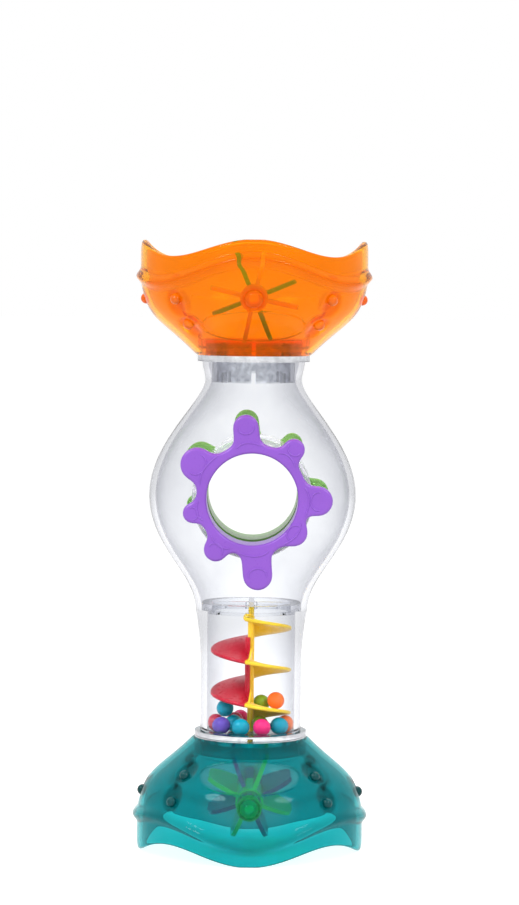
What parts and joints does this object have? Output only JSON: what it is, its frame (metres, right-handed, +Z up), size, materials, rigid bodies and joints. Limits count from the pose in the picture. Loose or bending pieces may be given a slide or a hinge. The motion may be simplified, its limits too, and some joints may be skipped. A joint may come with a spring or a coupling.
{
  "type": "two-cup water wheel bath toy",
  "caption": "Hand-held bath toy: tinted bell cups with paddle wheels on a clear bulb and bead tube, turning about a lobed hand ring.",
  "frame": {"origin": "on the ground under the middle of the toy, level with the teal cup's four rim tips", "axes": "+Z up from the teal cup to the orange cup, +Y to the back along the hand hole and the wheels' axles, +X to the right"},
  "size_m": [0.0852, 0.0852, 0.2206],
  "materials": {
    "clear_plastic": "clear moulded plastic, polished",
    "orange_tint": "see-through orange moulded plastic, polished",
    "teal_tint": "see-through teal moulded plastic, polished",
    "purple_plastic": "satin moulded purple plastic",
    "green_plastic": "satin moulded green plastic",
    "yellow_plastic": "moulded yellow plastic",
    "red_plastic": "moulded red plastic",
    "pale_plastic": "natural white moulded plastic",
    "wheel_green": "see-through green moulded plastic",
    "wheel_orange": "see-through orange moulded plastic",
    "wheel_purple": "see-through purple moulded plastic",
    "bead_purple": "glossy bead",
    "bead_teal": "glossy bead",
    "bead_pink": "glossy bead",
    "bead_orange": "glossy bead",
    "bead_green": "glossy bead",
    "bead_red": "glossy bead"
  },
  "bodies": {
    "body": {"bulb_front": "clear_plastic", "bulb_back": "clear_plastic", "bead_tube": "clear_plastic", "spiral_holder": "clear_plastic", "top_plug": "clear_plastic", "bottom_plug": "clear_plastic", "spiral_yellow": "yellow_plastic", "spiral_red": "red_plastic", "beads_purple": "bead_purple", "beads_teal": "bead_teal", "beads_pink": "bead_pink", "beads_orange": "bead_orange", "beads_green": "bead_green", "beads_red": "bead_red", "top_cup": "orange_tint", "bottom_cup": "teal_tint"},
    "hand_ring": {"front_grip_ring": "purple_plastic", "rear_grip_ring": "green_plastic", "hub_joiner": "pale_plastic"},
    "top_wheel": {"top_wheel_green": "wheel_green", "top_wheel_orange": "wheel_orange", "top_axle": "wheel_orange"},
    "bottom_wheel": {"bottom_wheel_green": "wheel_green", "bottom_wheel_purple": "wheel_purple", "bottom_axle": "wheel_green"}
  },
  "joints": [
    {"name": "hand_ring_spin", "type": "hinge", "parent": "body", "child": "hand_ring", "pos_m": [0, 0, 0.1288], "axis": [0, 1, 0], "continuous": true},
    {"name": "top_wheel_spin", "type": "hinge", "parent": "body", "child": "top_wheel", "pos_m": [0, 0, 0.2001], "axis": [0, 1, 0], "continuous": true},
    {"name": "bottom_wheel_spin", "type": "hinge", "parent": "body", "child": "bottom_wheel", "pos_m": [0, 0, 0.0205], "axis": [0, 1, 0], "continuous": true}
  ]
}
